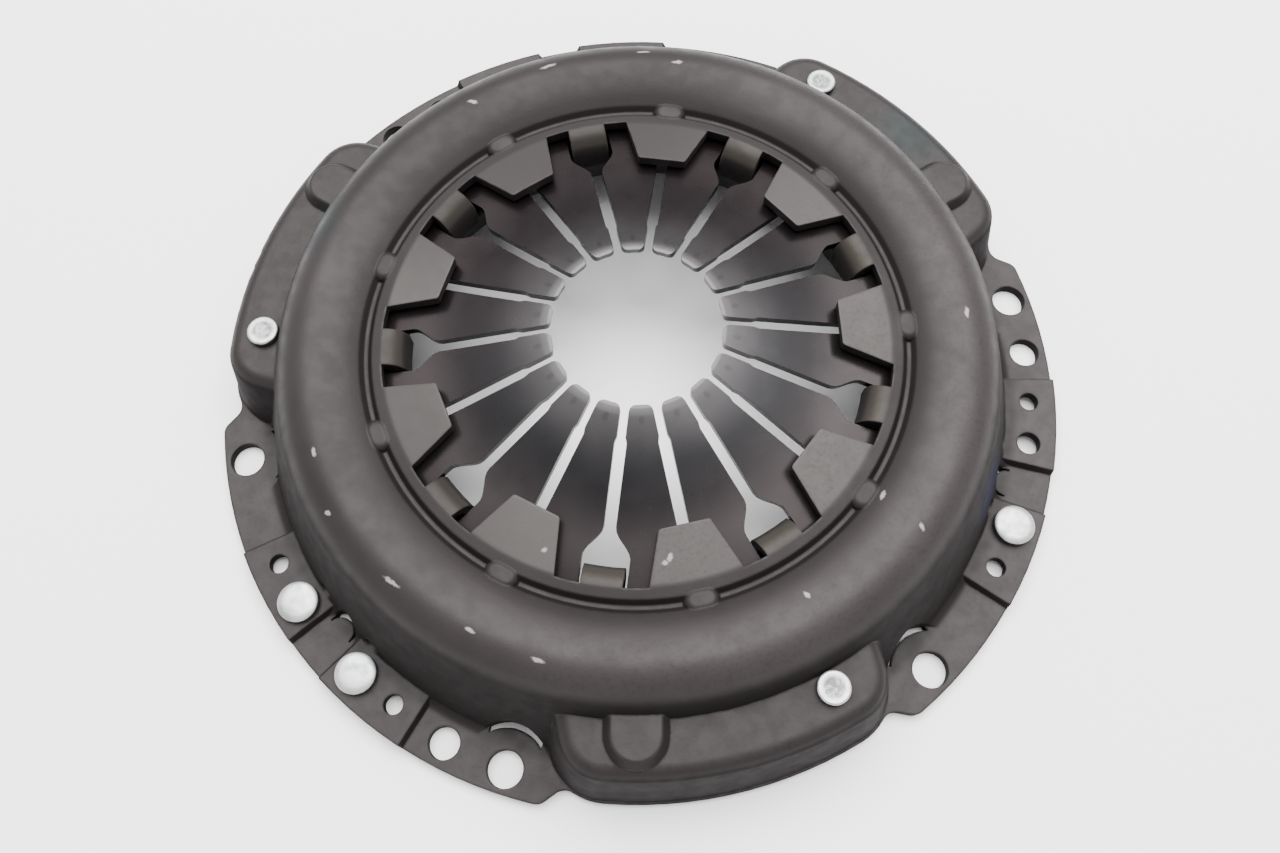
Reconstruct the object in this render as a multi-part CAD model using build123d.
from build123d import *
import os
from math import atan2, cos, degrees, radians, sin, sqrt, tan

# Clutch cover assembly of a small car, seen from the release bearing side.
# Frame: millimetres, +Z along the clutch axis towards the release bearing.
# The origin is on the axis, in the plane of the bolt pads that meet the flywheel.
# Angles are in degrees about +Z. The cover repeats three times round the axis.

# Pressed cover: sheet, flange and the holes in its three segments
SHEET = 3.0
BOLT_CIRCLE_R = 110.5
FLANGE_MARGIN = 6.0
BOLT_HOLE_R = 4.6
DOWEL_HOLE_R = 4.05
BALANCE_HOLE_R = 3.1
SMALL_HOLE_R = 2.5
BALANCE_INSET = 1.4
SEGMENT_MIDS = (100.0, 220.0, 340.0)
SEGMENT_HALF_ANGLE = 38.5
SEGMENT_BEVEL = 6.5
SEGMENT_CORNER_R = 3.5
SEGMENT_BAY_DEPTH = 4.2
SEGMENT_BAY_R = 4.0
BOLT_ANGLE = 30.0
DOWEL_ANGLE = 21.3
SMALL_ANGLE = 13.0
BALANCE_ANGLE = 6.5
RAISED_START_ANGLE = 2.8
RAISED_END_ANGLE = 17.0
RAISED_HEIGHT = 2.0
RAMP_ANGLE = 25.0

# Pressed cover: bowl wall, shoulder, groove and inner ring
WALL_INSET = 26.9
SHOULDER_Z = 24.3
SHOULDER_ARC_R = 11.1
WALL_DRAFT_ANGLE = 20.0
FOOT_R = 3.0
FLANK_WIDTH = 13.3
FLANK_CROWN = 0.8
GROOVE_FLOOR_Z = 29.2
GROOVE_DEPTH = 1.5
GROOVE_HALF_WIDTH = 1.7
GROOVE_FLOOR_HALF = 0.5
RING_WIDTH = 4.3
RING_SLOPE = 0.184

# Lugs, rolled tabs and bumps on the inner ring of the cover
LUG_COUNT = 9
LUG_LENGTH = 13.8
LUG_TIP_HALF = 6.3
LUG_ROOT_HALF = 11.9
LUG_CORNER_R = 0.9
TAB_WIDTH = 10.2
TAB_BEND_R = 6.0
TAB_HOOK_R = 5.0
TAB_HOOK_OVERHANG = 0.2
BUMP_LENGTH = 9.4
BUMP_WIDTH = 6.8
BUMP_RISE = 0.5
BUMP_ROOT = 2.7
BUMP_DRAFT_ANGLE = 10.0
BUMP_EDGE_R = 2.0

# Raised platforms over the ears of the pressure plate, with their U-shaped bosses
PLATFORM_CENTRES = (40.0, 160.0, 280.0)
PLATFORM_TOP_Z = 24.0
PLATFORM_TOP_HALF = 39.3
PLATFORM_REACH = 25.0
PLATFORM_DRAFT_ANGLE = 12.3
PLATFORM_CORNER_R = 16.0
PLATFORM_EDGE_R = 4.0
SKIRT_GAP = 1.0
SKIRT_HALF_ANGLE = 20.0
BOSS_ANGLE = -12.7
BOSS_TOP_HALF = 6.0
BOSS_SETBACK = 3.6
BOSS_DRAFT_ANGLE = 36.0
BOSS_EDGE_R = 0.9
BOSS_CLEARANCE = 0.9
BOSS_HOLLOW_HALF = 4.4
BOSS_HOLLOW_DRAFT_ANGLE = 30.0

# Openings in the bowl wall
ARCH_R = 4.8
ARCH_SLOT_HALF = 4.0
BOLT_ROOM_R = 11.2
BOLT_SLOT_HALF = 7.0
RELIEF_SLOT_WIDTH = 1.2
SLIT_ANGLE = 5.4
SLIT_LENGTH = 4.6
SLIT_HEIGHT = 3.6

# Diaphragm spring
SPRING_THICKNESS = 2.2
SPRING_RIM_MARGIN = 2.0
SPRING_TIP_R = 21.9
SPRING_RIM_SLOPE = 0.200
FINGER_BEND_R = 50.0
FINGER_SLOPE = 0.262
SLOT_WIDTH = 3.0
TIP_GAP = 2.1
TIP_GAP_LENGTH = 9.1
TIP_EDGE_R = 0.9
TIP_CORNER_R = 1.1
SLOT_EYE_R = 2.6
SLOT_EYE_INSET = 5.0
KEYHOLE_FLARE_GAP = 2.2
KEYHOLE_FLARE_LENGTH = 6.3
KEYHOLE_OUTER_GAP = 1.0
KEYHOLE_CLEARANCE = 0.8
KEYHOLE_CORNER_R = 2.2

# Lower fulcrum ring of round wire
WIRE_R = 1.7
WIRE_SPLIT = 1.5
SEAT_GAP = 0.05

# Pressure plate with its fulcrum ridge and ears
PLATE_WALL_GAP = 1.4
PLATE_INNER_R = 66.0
PLATE_FACE_Z = 6.0
PLATE_THICKNESS = 7.4
PLATE_RIM_HEIGHT = 3.5
PLATE_RIM_SETBACK = 3.0
PLATE_EDGE = 0.8
PLATE_LIFT = 3.3
RIDGE_SHOULDER_GAP = 2.4
RIDGE_CROWN_R = 2.2
RIDGE_BASE_HALF = 4.6
RIDGE_CLEARANCE = 0.3
RIDGE_NOTCHES = 9
RIDGE_NOTCH_WIDTH = 9.0
RIDGE_NOTCH_FLOOR = 2.2
EAR_HALF = 8.2
EAR_END_MARGIN = 5.4
EAR_LIFT = 3.0

# Strap packs and rivets
LEAF_COUNT = 3
LEAF_THICKNESS = 0.7
STRAP_WIDTH = 11.0
STRAP_FLAT = 6.0
STRAP_DROP = 3.7
PLATE_RIVET_SETBACK = 8.4
COVER_RIVET_SETBACK = 9.0
COVER_RIVET_ANGLE = 14.9
RIVET_SHANK_R = 2.5
RIVET_HEAD_R = 4.1
RIVET_HEAD_HEIGHT = 2.0
RIVET_EDGE = 0.6
RIVET_HOLE_CLEARANCE = 0.1
PLATE_RIVET_HEAD_HEIGHT = 2.1

# Balance rivets: index of the flange segment and side of its middle
BALANCE_PLACES = ((1, -1), (1, 1), (2, -1))
BALANCE_HEAD_R = 5.35
BALANCE_HEAD_HEIGHT = 2.6
BALANCE_EDGE = 1.0
BALANCE_FOOT_R = 4.2
BALANCE_FOOT_HEIGHT = 1.4
BALANCE_FIT = 0.05

# Radii of the cover that follow from the bolt circle inwards
FLANGE_R = BOLT_CIRCLE_R + FLANGE_MARGIN
BALANCE_CIRCLE_R = BOLT_CIRCLE_R - BALANCE_INSET
SHOULDER_R = BOLT_CIRCLE_R - WALL_INSET
GROOVE_R = SHOULDER_R - FLANK_WIDTH
RING_INNER_R = GROOVE_R - RING_WIDTH
LUG_TIP_R = RING_INNER_R - LUG_LENGTH
LIP_IN_R = GROOVE_R - GROOVE_HALF_WIDTH
LIP_OUT_R = GROOVE_R + GROOVE_HALF_WIDTH
RING_ROOT_R = (RING_INNER_R + LIP_IN_R) / 2.0
PLATFORM_TOP_R = SHOULDER_R + PLATFORM_REACH
PIVOT_R = GROOVE_R - GROOVE_FLOOR_HALF

# Directions that follow from the slopes above
DRAFT_TAN = tan(radians(WALL_DRAFT_ANGLE))
PLATFORM_TAN = tan(radians(PLATFORM_DRAFT_ANGLE))
SPRING_TILT = sqrt(1.0 + SPRING_RIM_SLOPE ** 2)

# Heights of the cover
FULCRUM_Z = GROOVE_FLOOR_Z - SHEET
LIP_Z = GROOVE_FLOOR_Z + GROOVE_DEPTH
RAISED_TOP_Z = SHEET + RAISED_HEIGHT
PLATFORM_UNDER_Z = PLATFORM_TOP_Z - SHEET
SHOULDER_END_R = SHOULDER_R + SHOULDER_ARC_R * cos(radians(WALL_DRAFT_ANGLE))
SHOULDER_END_Z = SHOULDER_Z + SHOULDER_ARC_R * sin(radians(WALL_DRAFT_ANGLE))


def ring_top(radius):
    """Height of the upper face of the cover's inner ring and lugs."""
    return LIP_Z + (LIP_IN_R - radius) * RING_SLOPE


def wall_inner_r(z):
    """Radius of the inner face of the bowl wall at a height."""
    sheet_across = SHEET / cos(radians(WALL_DRAFT_ANGLE))
    return SHOULDER_END_R + (SHOULDER_END_Z - z) * DRAFT_TAN - sheet_across


def spring_top(radius):
    """Height of the spring's upper face, which bends up at the fingers."""
    if radius >= FINGER_BEND_R:
        return FULCRUM_Z - SEAT_GAP + (PIVOT_R - radius) * SPRING_RIM_SLOPE
    return spring_top(FINGER_BEND_R) + (FINGER_BEND_R - radius) * FINGER_SLOPE


def spring_under(radius):
    """Height of the spring's lower face."""
    return spring_top(radius) - SPRING_THICKNESS * SPRING_TILT


# Pressure plate, ridge and spring rim, which follow the wall and the shoulder
PLATE_RIM_Z = PLATE_FACE_Z + PLATE_RIM_HEIGHT
PLATE_BACK_Z = PLATE_FACE_Z + PLATE_THICKNESS
PLATE_OUTER_R = wall_inner_r(PLATE_RIM_Z + PLATE_LIFT) - PLATE_WALL_GAP
PLATE_RIM_TOP_R = PLATE_OUTER_R - PLATE_RIM_SETBACK
RIDGE_R = SHOULDER_R + RIDGE_SHOULDER_GAP
RIDGE_TOP_Z = spring_under(RIDGE_R) - RIDGE_CLEARANCE
SPRING_RIM_R = RIDGE_R + SPRING_RIM_MARGIN
TIP_GAP_END_R = SPRING_TIP_R + TIP_GAP_LENGTH
SLOT_END_R = RING_INNER_R - SLOT_EYE_INSET

# Wire ring and the hooks of the tabs that carry it
WIRE_Z = spring_under(GROOVE_R) - WIRE_R * SPRING_TILT - SEAT_GAP
HOOK_TOP_Z = WIRE_Z - WIRE_R - SEAT_GAP
TAB_FACE_R = RING_INNER_R - TAB_BEND_R
TAB_HOOK_END_R = GROOVE_R + WIRE_R + TAB_HOOK_OVERHANG
LUG_ANGLES = [index * 360.0 / LUG_COUNT for index in range(LUG_COUNT)]
TAB_ANGLES = [angle + 180.0 / LUG_COUNT for angle in LUG_ANGLES]
SEAM_ANGLE = 120.0 / LUG_COUNT

# Strap packs, their rivets and the bosses that clear them at full lift
COVER_STRAP_Z = PLATFORM_UNDER_Z - LEAF_COUNT * LEAF_THICKNESS
PLATE_STRAP_Z = COVER_STRAP_Z - STRAP_DROP
EAR_BOTTOM_Z = PLATE_FACE_Z + EAR_LIFT
PLATE_RIVET_R = PLATFORM_TOP_R - PLATE_RIVET_SETBACK
COVER_RIVET_R = PLATFORM_TOP_R - COVER_RIVET_SETBACK
EAR_END_R = PLATE_RIVET_R + EAR_END_MARGIN
RIVET_HOLE_R = RIVET_SHANK_R + RIVET_HOLE_CLEARANCE
PLATE_RIVET_SEAT_Z = PLATE_STRAP_Z + LEAF_COUNT * LEAF_THICKNESS
PLATE_RIVET_TOP_Z = PLATE_RIVET_SEAT_Z + PLATE_RIVET_HEAD_HEIGHT
BOSS_UNDER_Z = PLATE_RIVET_TOP_Z + PLATE_LIFT + BOSS_CLEARANCE
BOSS_TOP_Z = BOSS_UNDER_Z + SHEET
BOSS_CENTRE_R = PLATFORM_TOP_R - BOSS_SETBACK - BOSS_TOP_HALF
BOSS_ANGLES = [centre + BOSS_ANGLE for centre in PLATFORM_CENTRES]


def polar(radius, angle):
    """A point at a radius and an angle about the clutch axis."""
    return (radius * cos(radians(angle)), radius * sin(radians(angle)))


def around(shape, angles):
    """Copies of a shape turned to several angles about the clutch axis."""
    return [Rot(0, 0, angle) * shape for angle in angles]


def joined(base, pieces):
    """A base shape with several pieces added to it."""
    return base.fuse(*pieces)


def drilled(base, pieces):
    """A base shape with several pieces cut out of it."""
    return base.cut(*pieces)


def outlined(edges):
    """A closed face in the XZ plane from edges drawn as (radius, z)."""
    return Plane.XZ * make_face(edges)


def ring(points, rounded=(), round_r=1.0):
    """A turned ring from (radius, z) points, with some corners of its section rounded."""
    face = make_face(Polyline(*points, close=True))
    for corner in rounded:
        near = face.vertices().sort_by_distance(corner)[0]
        face = fillet(near, round_r)
    return revolve(Plane.XZ * face, Axis.Z)


def bar(radius, z_low, z_high, centre=(0.0, 0.0)):
    """A plain round bar between two heights."""
    return Pos(centre[0], centre[1], z_low) * extrude(Circle(radius), z_high - z_low)


def sector(inner_r, outer_r, low, high):
    """A flat piece of a ring between two angles."""
    mid = (low + high) / 2.0
    edges = [
        Line(polar(inner_r, low), polar(outer_r, low)),
        ThreePointArc(polar(outer_r, low), polar(outer_r, mid), polar(outer_r, high)),
        Line(polar(outer_r, high), polar(inner_r, high)),
        ThreePointArc(polar(inner_r, high), polar(inner_r, mid), polar(inner_r, low)),
    ]
    return make_face(edges)


def bowl_line(inset):
    """Edges of the bowl section from lug tip to wall foot, moved under the skin by inset."""
    reach = radians(WALL_DRAFT_ANGLE)
    arc_r = SHOULDER_ARC_R - inset
    crown = (SHOULDER_R, SHOULDER_Z + arc_r)
    arc_mid = radians((90.0 + WALL_DRAFT_ANGLE) / 2.0)
    shoulder_mid = (SHOULDER_R + arc_r * cos(arc_mid), SHOULDER_Z + arc_r * sin(arc_mid))
    shoulder_end = (SHOULDER_R + arc_r * cos(reach), SHOULDER_Z + arc_r * sin(reach))
    foot_z = SHEET - inset
    foot_r = FOOT_R + inset
    half_turn = radians((90.0 - WALL_DRAFT_ANGLE) / 2.0)
    tangent = foot_r * tan(half_turn)
    corner_r = shoulder_end[0] + (shoulder_end[1] - foot_z) * DRAFT_TAN
    foot_start = (corner_r - tangent * sin(reach), foot_z + tangent * cos(reach))
    foot_end = (corner_r + tangent, foot_z)
    foot_mid = (foot_end[0] - foot_r * sin(half_turn), foot_z + foot_r * (1.0 - cos(half_turn)))
    inner = (LUG_TIP_R, ring_top(LUG_TIP_R) - inset)
    groove_in = (LIP_IN_R, LIP_Z - inset)
    floor_in = (GROOVE_R - GROOVE_FLOOR_HALF, GROOVE_FLOOR_Z - inset)
    floor_out = (GROOVE_R + GROOVE_FLOOR_HALF, GROOVE_FLOOR_Z - inset)
    groove_out = (LIP_OUT_R, LIP_Z - inset)
    flank_mid = ((groove_out[0] + crown[0]) / 2.0, (groove_out[1] + crown[1]) / 2.0 + FLANK_CROWN)
    edges = [
        Line(inner, groove_in),
        Line(groove_in, floor_in),
        Line(floor_in, floor_out),
        Line(floor_out, groove_out),
        ThreePointArc(groove_out, flank_mid, crown),
        ThreePointArc(crown, shoulder_mid, shoulder_end),
        Line(shoulder_end, foot_start),
        ThreePointArc(foot_start, foot_mid, foot_end),
    ]
    return edges, inner, foot_end


def bowl_outside():
    """The space inside the cover's outer skin, with a full flange ring."""
    edges, inner, foot = bowl_line(0.0)
    start = (inner[0], 0.0)
    edges.append(Line(start, inner))
    edges.append(Line(foot, (FLANGE_R, SHEET)))
    edges.append(Line((FLANGE_R, SHEET), (FLANGE_R, 0.0)))
    edges.append(Line((FLANGE_R, 0.0), start))
    return revolve(outlined(edges), Axis.Z)


def bowl_inside():
    """The hollow under the cover's sheet, open downwards."""
    edges, inner, foot = bowl_line(SHEET)
    start = (inner[0] - SHEET, -SHEET)
    edges.append(Line(start, (start[0], inner[1])))
    edges.append(Line((start[0], inner[1]), inner))
    edges.append(Line(foot, (foot[0], -SHEET)))
    edges.append(Line((foot[0], -SHEET), start))
    return revolve(outlined(edges), Axis.Z)


def platform_plan(z, inset=0.0):
    """Plan of a platform at a height, pointing along +X."""
    grow = (PLATFORM_TOP_Z - z) * PLATFORM_TAN - inset
    half = PLATFORM_TOP_HALF + grow
    reach = PLATFORM_TOP_R + grow
    depth = reach - LIP_OUT_R
    frame = Pos(LIP_OUT_R + depth / 2.0, 0) * Rectangle(depth, half * 2.0)
    plan = frame & Circle(reach)
    return fillet(plan.vertices().sort_by(Axis.X)[-2:], PLATFORM_CORNER_R - inset)


def platform(z_low, z_high, inset, edge_r):
    """A platform as a drafted block, its walls moved inwards by inset."""
    plan = Pos(0, 0, z_low) * platform_plan(z_low, inset)
    block = extrude(plan, z_high - z_low, taper=PLATFORM_DRAFT_ANGLE)
    return softened(block, edge_r)


def boss(centre_r, top_half, z_low, z_high, draft):
    """A drafted U-shaped block on a platform, open towards the clutch axis."""
    half = top_half + (z_high - z_low) * tan(radians(draft))
    length = centre_r - SHOULDER_R
    plan = Pos(centre_r, 0) * Circle(half)
    plan = plan + Pos(centre_r - length / 2.0, 0) * Rectangle(length, half * 2.0)
    return extrude(Pos(0, 0, z_low) * plan, z_high - z_low, taper=draft)


def softened(block, edge_r):
    """A block with the rim of its top face rounded, except at its end near the axis."""
    top = block.faces().sort_by(Axis.Z)[-1]
    rim = top.edges().sort_by(Axis.X)[1:]
    return fillet(rim, edge_r)


def raised_pad(z):
    """One raised stretch of a flange segment, with ramps at its ends, at a base height."""
    plan = sector(SHOULDER_R, FLANGE_R + RAISED_HEIGHT * 2.0, RAISED_START_ANGLE, RAISED_END_ANGLE)
    return extrude(Pos(0, 0, z) * plan, RAISED_HEIGHT, taper=RAMP_ANGLE)


def raised_angles():
    """Turns that place the raised stretch on both sides of each segment's middle."""
    spread = RAISED_START_ANGLE + RAISED_END_ANGLE
    return [mid + shift for mid in SEGMENT_MIDS for shift in (0.0, -spread)]


def flange_outline():
    """Plan of the whole cover: three flange segments and three platforms."""
    plan = Circle(wall_foot_r())
    for mid in SEGMENT_MIDS:
        piece = sector(SHOULDER_R, FLANGE_R, mid - SEGMENT_HALF_ANGLE, mid + SEGMENT_HALF_ANGLE)
        piece = chamfer(piece.vertices().sort_by_distance((0, 0))[-2:], SEGMENT_BEVEL)
        plan = plan + fillet(piece.vertices().sort_by_distance((0, 0))[-2:], SEGMENT_CORNER_R)
    for centre in PLATFORM_CENTRES:
        plan = plan + Rot(0, 0, centre) * platform_plan(0.0)
    bays = []
    for mid in SEGMENT_MIDS:
        for side in (-1.0, 1.0):
            bay = polar(FLANGE_R - SEGMENT_BAY_DEPTH, mid + side * SEGMENT_HALF_ANGLE)
            bays.append(plan.vertices().sort_by_distance(bay)[0])
    return fillet(bays, SEGMENT_BAY_R)


def wall_foot_r():
    """Radius where the foot of the bowl wall runs out into the flange."""
    return bowl_line(0.0)[2][0]


def wall_cut(plan, angle):
    """A tool that cuts a plan drawn as (tangent, z) radially through the bowl wall."""
    reach = wall_foot_r() - SHOULDER_R
    tool = Pos(wall_foot_r(), 0, 0) * extrude(Plane.YZ * plan, -reach)
    return Rot(0, 0, angle) * tool


def relief(radius, slot_half, centre_r, angle):
    """Tools that clear the wall above the flange round a place and slit the sheet behind it."""
    room = bar(radius, SHEET, SHOULDER_Z, (centre_r, 0.0))
    plan = Circle(radius) - Circle(radius - RELIEF_SLOT_WIDTH)
    plan = plan & (Pos(-radius / 2.0, 0) * Rectangle(radius, slot_half * 2.0))
    slot = Pos(centre_r, 0, -SHEET) * extrude(plan, SHEET * 2.0)
    return [Rot(0, 0, angle) * room, Rot(0, 0, angle) * slot]


def wall_openings():
    """Arches, slits and bolt head reliefs of the three flange segments."""
    slit_z = RAISED_TOP_Z + SLIT_HEIGHT / 2.0
    slit = Pos(0, slit_z) * SlotOverall(SLIT_LENGTH, SLIT_HEIGHT)
    tools = []
    for mid in SEGMENT_MIDS:
        tools += relief(ARCH_R, ARCH_SLOT_HALF, wall_foot_r(), mid)
        for side in (-1.0, 1.0):
            tools.append(wall_cut(slit, mid + side * SLIT_ANGLE))
            tools += relief(BOLT_ROOM_R, BOLT_SLOT_HALF, BOLT_CIRCLE_R, mid + side * BOLT_ANGLE)
    return tools


def flange_holes():
    """Bolt, dowel, balance and small holes of the three flange segments."""
    tools = []
    for mid in SEGMENT_MIDS:
        for side in (-1.0, 1.0):
            places = (
                (BOLT_HOLE_R, BOLT_CIRCLE_R, BOLT_ANGLE),
                (BALANCE_HOLE_R, BALANCE_CIRCLE_R, BALANCE_ANGLE),
                (SMALL_HOLE_R, BALANCE_CIRCLE_R, SMALL_ANGLE),
            )
            for hole_r, circle_r, offset in places:
                centre = polar(circle_r, mid + side * offset)
                tools.append(bar(hole_r, -SHEET, RAISED_TOP_Z + SHEET, centre))
        centre = polar(BOLT_CIRCLE_R, mid + DOWEL_ANGLE)
        tools.append(bar(DOWEL_HOLE_R, -SHEET, RAISED_TOP_Z + SHEET, centre))
    return tools


def lug_plan():
    """Plan of a trapezoid lug on the ring's inner edge, pointing inwards at angle 0."""
    slope = (LUG_ROOT_HALF - LUG_TIP_HALF) / (RING_INNER_R - LUG_TIP_R)
    root_half = LUG_TIP_HALF + (RING_ROOT_R - LUG_TIP_R) * slope
    corners = [
        (LUG_TIP_R, -LUG_TIP_HALF),
        (LUG_TIP_R, LUG_TIP_HALF),
        (RING_ROOT_R, root_half),
        (RING_ROOT_R, -root_half),
    ]
    plan = make_face(Polyline(*corners, close=True))
    return fillet(plan.vertices().sort_by(Axis.X)[:2], LUG_CORNER_R)


def lug_gaps():
    """A tool that blanks out the ring's inner edge and leaves its nine lugs."""
    plan = Circle(RING_INNER_R)
    for piece in around(lug_plan(), LUG_ANGLES):
        plan = plan - piece
    return Pos(0, 0, RAISED_TOP_Z) * extrude(plan, LIP_Z + SHOULDER_ARC_R)


def tab():
    """A tab rolled down from the ring's inner edge and hooked under the wire ring."""
    edge = (RING_INNER_R, ring_top(RING_INNER_R))
    edge_under = (RING_INNER_R, ring_top(RING_INNER_R) - SHEET)
    root = (RING_ROOT_R, ring_top(RING_ROOT_R))
    root_under = (RING_ROOT_R, ring_top(RING_ROOT_R) - SHEET)
    bend_z = edge[1] - TAB_BEND_R
    face_r = TAB_FACE_R
    back_r = face_r + SHEET
    bend_inner = TAB_BEND_R - SHEET
    hook_inner = TAB_HOOK_R - SHEET
    hook_r = back_r + hook_inner
    hook_z = HOOK_TOP_Z + hook_inner
    lean = sqrt(0.5)
    face_low = (face_r, hook_z)
    hook_under = (hook_r, HOOK_TOP_Z - SHEET)
    end_under = (TAB_HOOK_END_R, HOOK_TOP_Z - SHEET)
    end = (TAB_HOOK_END_R, HOOK_TOP_Z)
    hook_top = (hook_r, HOOK_TOP_Z)
    back_low = (back_r, hook_z)
    back_high = (back_r, bend_z)
    edges = [
        Line(root, edge),
        ThreePointArc(edge, (edge[0] - TAB_BEND_R * lean, bend_z + TAB_BEND_R * lean), (face_r, bend_z)),
        Line((face_r, bend_z), face_low),
        ThreePointArc(face_low, (hook_r - TAB_HOOK_R * lean, hook_z - TAB_HOOK_R * lean), hook_under),
        Line(hook_under, end_under),
        Line(end_under, end),
        Line(end, hook_top),
        ThreePointArc(hook_top, (hook_r - hook_inner * lean, hook_z - hook_inner * lean), back_low),
        Line(back_low, back_high),
        ThreePointArc(
            back_high, (edge[0] - bend_inner * lean, bend_z + bend_inner * lean), edge_under,
        ),
        Line(edge_under, root_under),
        Line(root_under, root),
    ]
    turn = 360.0 / LUG_COUNT
    rolled = Rot(0, 0, -turn / 2.0) * revolve(outlined(edges), Axis.Z, revolution_arc=turn)
    strip = Pos(RING_INNER_R, 0, LIP_Z / 2.0) * Box(TAB_WIDTH * 2.0, TAB_WIDTH, LIP_Z * 2.0)
    return rolled & strip


def bump():
    """An oval bump that closes the groove over a slot of the spring."""
    plan = Pos(GROOVE_R, 0, LIP_Z - BUMP_ROOT) * Rot(0, 0, 90) * SlotOverall(BUMP_LENGTH, BUMP_WIDTH)
    block = extrude(plan, BUMP_ROOT + BUMP_RISE, taper=BUMP_DRAFT_ANGLE)
    return fillet(block.faces().sort_by(Axis.Z)[-1].edges(), BUMP_EDGE_R)


def cover_envelope():
    """The space inside the cover's outer skin: bowl, platforms, bosses and raised pads."""
    block = platform(0.0, PLATFORM_TOP_Z, 0.0, PLATFORM_EDGE_R)
    boss_block = boss(BOSS_CENTRE_R, BOSS_TOP_HALF, PLATFORM_TOP_Z, BOSS_TOP_Z, BOSS_DRAFT_ANGLE)
    added = around(block, PLATFORM_CENTRES)
    added += around(softened(boss_block, BOSS_EDGE_R), BOSS_ANGLES)
    added += around(raised_pad(SHEET), raised_angles())
    envelope = joined(Rot(0, 0, SEAM_ANGLE) * bowl_outside(), added)
    return envelope & extrude(flange_outline(), SHOULDER_Z + SHOULDER_ARC_R)


def cover_hollow():
    """The spaces under the cover's sheet, one sheet thickness below the outer skin."""
    block = platform(-SHEET, PLATFORM_UNDER_Z, SHEET, PLATFORM_EDGE_R - SHEET)
    boss_block = boss(
        PLATE_RIVET_R, BOSS_HOLLOW_HALF, PLATFORM_UNDER_Z, BOSS_UNDER_Z, BOSS_HOLLOW_DRAFT_ANGLE,
    )
    hollows = [Rot(0, 0, SEAM_ANGLE) * bowl_inside()]
    hollows += around(block, PLATFORM_CENTRES)
    hollows += around(boss_block, BOSS_ANGLES)
    hollows += around(raised_pad(0.0), raised_angles())
    return hollows


def platform_trims():
    """The trimmed skirt and the rivet hole of each platform."""
    skirt = extrude(sector(wall_foot_r(), FLANGE_R, -SKIRT_HALF_ANGLE, SKIRT_HALF_ANGLE), SKIRT_GAP)
    centre = polar(COVER_RIVET_R, COVER_RIVET_ANGLE)
    rivet_hole = bar(RIVET_HOLE_R, COVER_STRAP_Z, PLATFORM_TOP_Z + SHEET, centre)
    return around(skirt, PLATFORM_CENTRES) + around(rivet_hole, PLATFORM_CENTRES)


def pressed_cover():
    """The one-piece pressed steel cover."""
    cover = drilled(cover_envelope(), cover_hollow())
    cover = drilled(cover, [lug_gaps()] + wall_openings() + flange_holes() + platform_trims())
    return joined(cover, around(tab(), TAB_ANGLES) + around(bump(), LUG_ANGLES))


def slot_plan():
    """Plan of the narrow slot between two fingers, which opens out at the rounded tips."""
    half = SLOT_WIDTH / 2.0
    tip_half = TIP_GAP / 2.0
    start = SPRING_TIP_R - TIP_CORNER_R
    corner_r = SPRING_TIP_R + TIP_CORNER_R
    wide = tip_half + TIP_CORNER_R * 2.0
    lower = [(start, -wide), (corner_r, -tip_half), (TIP_GAP_END_R, -half), (SLOT_END_R, -half)]
    upper = [(x, -y) for x, y in reversed(lower)]
    return make_face(Polyline(*(lower + upper), close=True)) + Pos(SLOT_END_R, 0) * Circle(SLOT_EYE_R)


def keyhole_plan():
    """Plan of a slot with the wide keyhole that a tab of the cover passes through."""
    half = TAB_WIDTH / 2.0 + KEYHOLE_CLEARANCE
    neck = SLOT_WIDTH / 2.0
    flare_r = TAB_FACE_R - KEYHOLE_FLARE_GAP
    neck_r = flare_r - KEYHOLE_FLARE_LENGTH
    lower = [(TIP_GAP_END_R, -neck), (neck_r, -neck), (flare_r, -half)]
    lower.append((RING_INNER_R + KEYHOLE_OUTER_GAP, -half))
    upper = [(x, -y) for x, y in reversed(lower)]
    plan = make_face(Polyline(*(lower + upper), close=True))
    bends = plan.vertices().sort_by(Axis.X)[2:]
    return slot_plan() + fillet(bends, KEYHOLE_CORNER_R)


def diaphragm_spring():
    """The one-piece diaphragm spring: a dished ring with fingers up to the release bearing."""
    top = [(radius, spring_top(radius)) for radius in (SPRING_RIM_R, FINGER_BEND_R, SPRING_TIP_R)]
    under = [(radius, spring_under(radius)) for radius in (SPRING_TIP_R, FINGER_BEND_R, SPRING_RIM_R)]
    dish = ring(top + under, rounded=top[2:], round_r=TIP_EDGE_R)
    height = spring_top(SPRING_TIP_R)
    slot = extrude(slot_plan(), height)
    keyhole = extrude(keyhole_plan(), height)
    return drilled(dish, around(slot, LUG_ANGLES) + around(keyhole, TAB_ANGLES))


def fulcrum_ring():
    """The round wire ring under the spring, open at one place."""
    gap = degrees(WIRE_SPLIT / GROOVE_R)
    profile = Plane.XZ * Pos(GROOVE_R, WIRE_Z) * Circle(WIRE_R)
    return Rot(0, 0, gap / 2.0) * revolve(profile, Axis.Z, revolution_arc=360.0 - gap)


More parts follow.
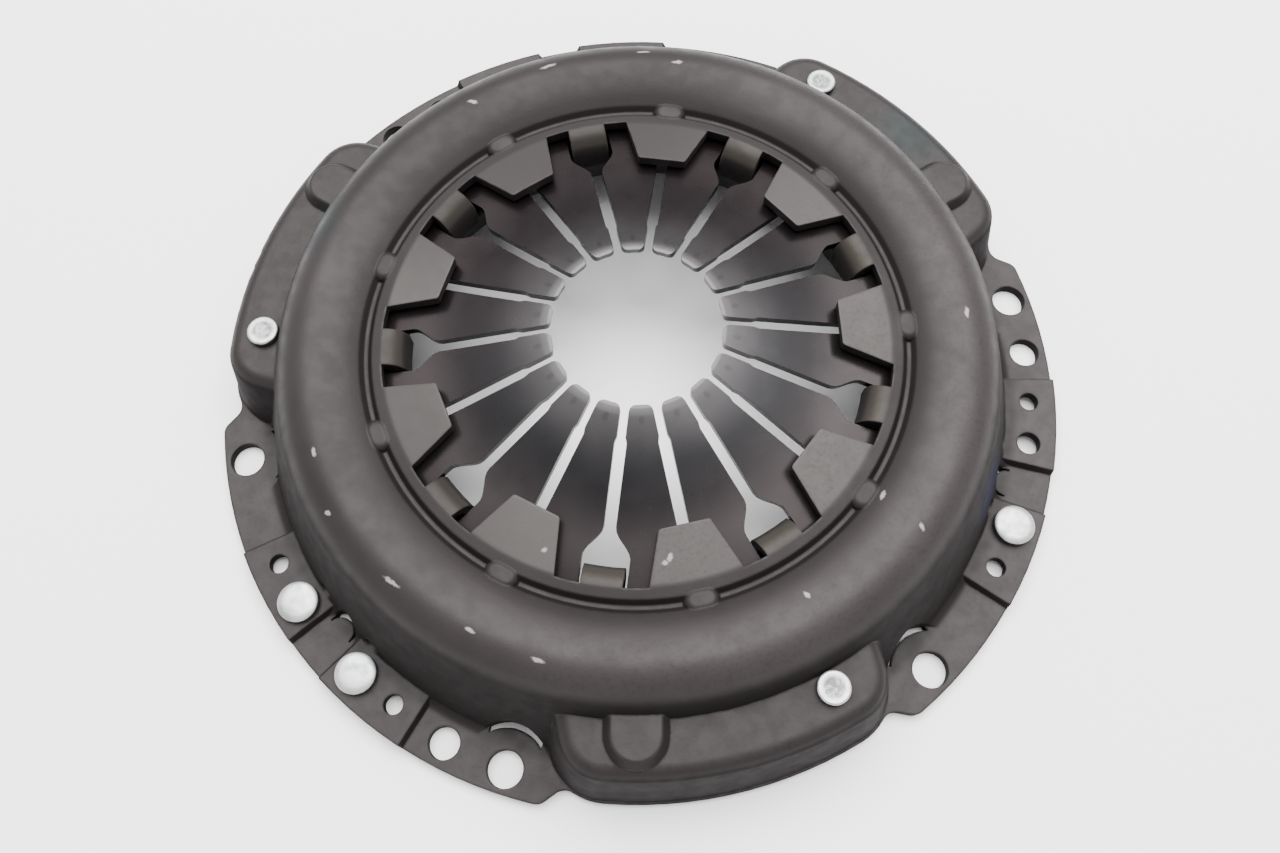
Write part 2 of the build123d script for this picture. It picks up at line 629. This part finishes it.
def plate_ring():
    """The turned body of the pressure plate with its vented fulcrum ridge."""
    crown_z = RIDGE_TOP_Z - RIDGE_CROWN_R
    crown_in = (RIDGE_R - RIDGE_CROWN_R, crown_z)
    crown_out = (RIDGE_R + RIDGE_CROWN_R, crown_z)
    edge_face_z = PLATE_FACE_Z + PLATE_EDGE
    outline = [
        crown_in,
        (RIDGE_R - RIDGE_BASE_HALF, PLATE_BACK_Z),
        (PLATE_INNER_R + PLATE_EDGE, PLATE_BACK_Z),
        (PLATE_INNER_R, PLATE_BACK_Z - PLATE_EDGE),
        (PLATE_INNER_R, edge_face_z),
        (PLATE_INNER_R + PLATE_EDGE, PLATE_FACE_Z),
        (PLATE_OUTER_R - PLATE_EDGE, PLATE_FACE_Z),
        (PLATE_OUTER_R, edge_face_z),
        (PLATE_OUTER_R, PLATE_RIM_Z),
        (PLATE_RIM_TOP_R, PLATE_BACK_Z),
        (RIDGE_R + RIDGE_BASE_HALF, PLATE_BACK_Z),
        crown_out,
    ]
    crown = ThreePointArc(crown_out, (RIDGE_R, RIDGE_TOP_Z), crown_in)
    body = revolve(outlined([Polyline(*outline), crown]), Axis.Z)
    vent = Pos(RIDGE_R, 0, PLATE_BACK_Z + RIDGE_NOTCH_FLOOR + RIDGE_TOP_Z / 2.0)
    vent = vent * Box(RIDGE_BASE_HALF * 4.0, RIDGE_NOTCH_WIDTH, RIDGE_TOP_Z)
    turns = [index * 360.0 / RIDGE_NOTCHES for index in range(RIDGE_NOTCHES)]
    return drilled(body, around(vent, turns))


def pressure_plate():
    """The cast iron pressure plate with three ears for the strap packs."""
    end_r = EAR_END_R - EAR_HALF
    length = end_r - RIDGE_R - RIDGE_BASE_HALF
    plan = Pos(end_r, 0) * Circle(EAR_HALF)
    plan = plan + Pos(end_r - length / 2.0, 0) * Rectangle(length, EAR_HALF * 2.0)
    ear = extrude(Pos(0, 0, EAR_BOTTOM_Z) * plan, PLATE_STRAP_Z - EAR_BOTTOM_Z)
    hole = bar(RIVET_HOLE_R, PLATE_FACE_Z, PLATE_STRAP_Z + SHEET, (PLATE_RIVET_R, 0.0))
    plate = joined(plate_ring(), around(ear, BOSS_ANGLES))
    return drilled(plate, around(hole, BOSS_ANGLES))


def strap_line():
    """Place of a strap's plate rivet, its length between rivets and its direction."""
    low = Vector(*polar(PLATE_RIVET_R, BOSS_ANGLE))
    high = Vector(*polar(COVER_RIVET_R, COVER_RIVET_ANGLE))
    run = high - low
    return low, run.length, degrees(atan2(run.Y, run.X))


def strap_leaf(level):
    """One spring steel leaf, bent down from the cover's platform to the plate's lug."""
    low, length, direction = strap_line()
    end = STRAP_WIDTH / 2.0
    under = [(-end, PLATE_STRAP_Z), (STRAP_FLAT, PLATE_STRAP_Z)]
    under += [(length - STRAP_FLAT, COVER_STRAP_Z), (length + end, COVER_STRAP_Z)]
    upper = [(x, z + LEAF_THICKNESS) for x, z in reversed(under)]
    side = Plane.XZ * make_face(Polyline(*(under + upper), close=True))
    leaf = extrude(side, end, both=True)
    plan = Pos(length / 2.0, 0) * SlotOverall(length + STRAP_WIDTH, STRAP_WIDTH)
    leaf = leaf & extrude(plan, PLATFORM_TOP_Z)
    leaf = drilled(leaf, [bar(RIVET_HOLE_R, 0.0, PLATFORM_TOP_Z, (x, 0.0)) for x in (0.0, length)])
    return Pos(low.X, low.Y, level * LEAF_THICKNESS) * Rot(0, 0, direction) * leaf


def rivet(shank_r, head_r, foot_r, levels, edge):
    """A rivet on the clutch axis. Levels are foot, lower seat, upper seat and head heights."""
    foot, seat, grip, head = levels
    return ring([
        (0.0, foot), (foot_r - edge, foot), (foot_r, foot + edge), (foot_r, seat),
        (shank_r, seat), (shank_r, grip), (head_r, grip), (head_r, head - edge),
        (head_r - edge, head), (0.0, head),
    ])


def cover_rivet():
    """A rivet that holds a strap pack to a platform of the cover."""
    levels = (COVER_STRAP_Z - RIVET_HEAD_HEIGHT, COVER_STRAP_Z, PLATFORM_TOP_Z,
              PLATFORM_TOP_Z + RIVET_HEAD_HEIGHT)
    body = rivet(RIVET_SHANK_R, RIVET_HEAD_R, RIVET_HEAD_R, levels, RIVET_EDGE)
    x, y = polar(COVER_RIVET_R, COVER_RIVET_ANGLE)
    return Pos(x, y, 0) * body


def plate_rivet():
    """A rivet that holds a strap pack to a lug of the pressure plate."""
    levels = (EAR_BOTTOM_Z - RIVET_HEAD_HEIGHT, EAR_BOTTOM_Z, PLATE_RIVET_SEAT_Z,
              PLATE_RIVET_TOP_Z)
    body = rivet(RIVET_SHANK_R, RIVET_HEAD_R, RIVET_HEAD_R, levels, RIVET_EDGE)
    x, y = polar(PLATE_RIVET_R, BOSS_ANGLE)
    return Pos(x, y, 0) * body


def balance_rivet(segment, side):
    """A heavy rivet added in a flange hole to balance the turning assembly."""
    levels = (RAISED_HEIGHT - BALANCE_FOOT_HEIGHT, RAISED_HEIGHT, RAISED_TOP_Z,
              RAISED_TOP_Z + BALANCE_HEAD_HEIGHT)
    body = rivet(BALANCE_HOLE_R - BALANCE_FIT, BALANCE_HEAD_R, BALANCE_FOOT_R, levels, BALANCE_EDGE)
    x, y = polar(BALANCE_CIRCLE_R, SEGMENT_MIDS[segment] + side * BALANCE_ANGLE)
    return Pos(x, y, 0) * body


def save(name, shape):
    """Write one piece to its own file, with its name as label."""
    shape.label = name
    export_step(shape, f"parts/{name}.step")


def main():
    os.makedirs("parts", exist_ok=True)
    save("pressed_cover", pressed_cover())
    save("diaphragm_spring", diaphragm_spring())
    save("fulcrum_wire_ring", fulcrum_ring())
    save("pressure_plate", pressure_plate())
    for index, centre in enumerate(PLATFORM_CENTRES):
        place = Rot(0, 0, centre)
        for level, leaf_name in enumerate(("lower", "middle", "upper")):
            save(f"{leaf_name}_strap_{index + 1}", place * strap_leaf(level))
        save(f"cover_rivet_{index + 1}", place * cover_rivet())
        save(f"plate_rivet_{index + 1}", place * plate_rivet())
    for index, (segment, side) in enumerate(BALANCE_PLACES):
        save(f"balance_rivet_{index + 1}", balance_rivet(segment, side))


main()
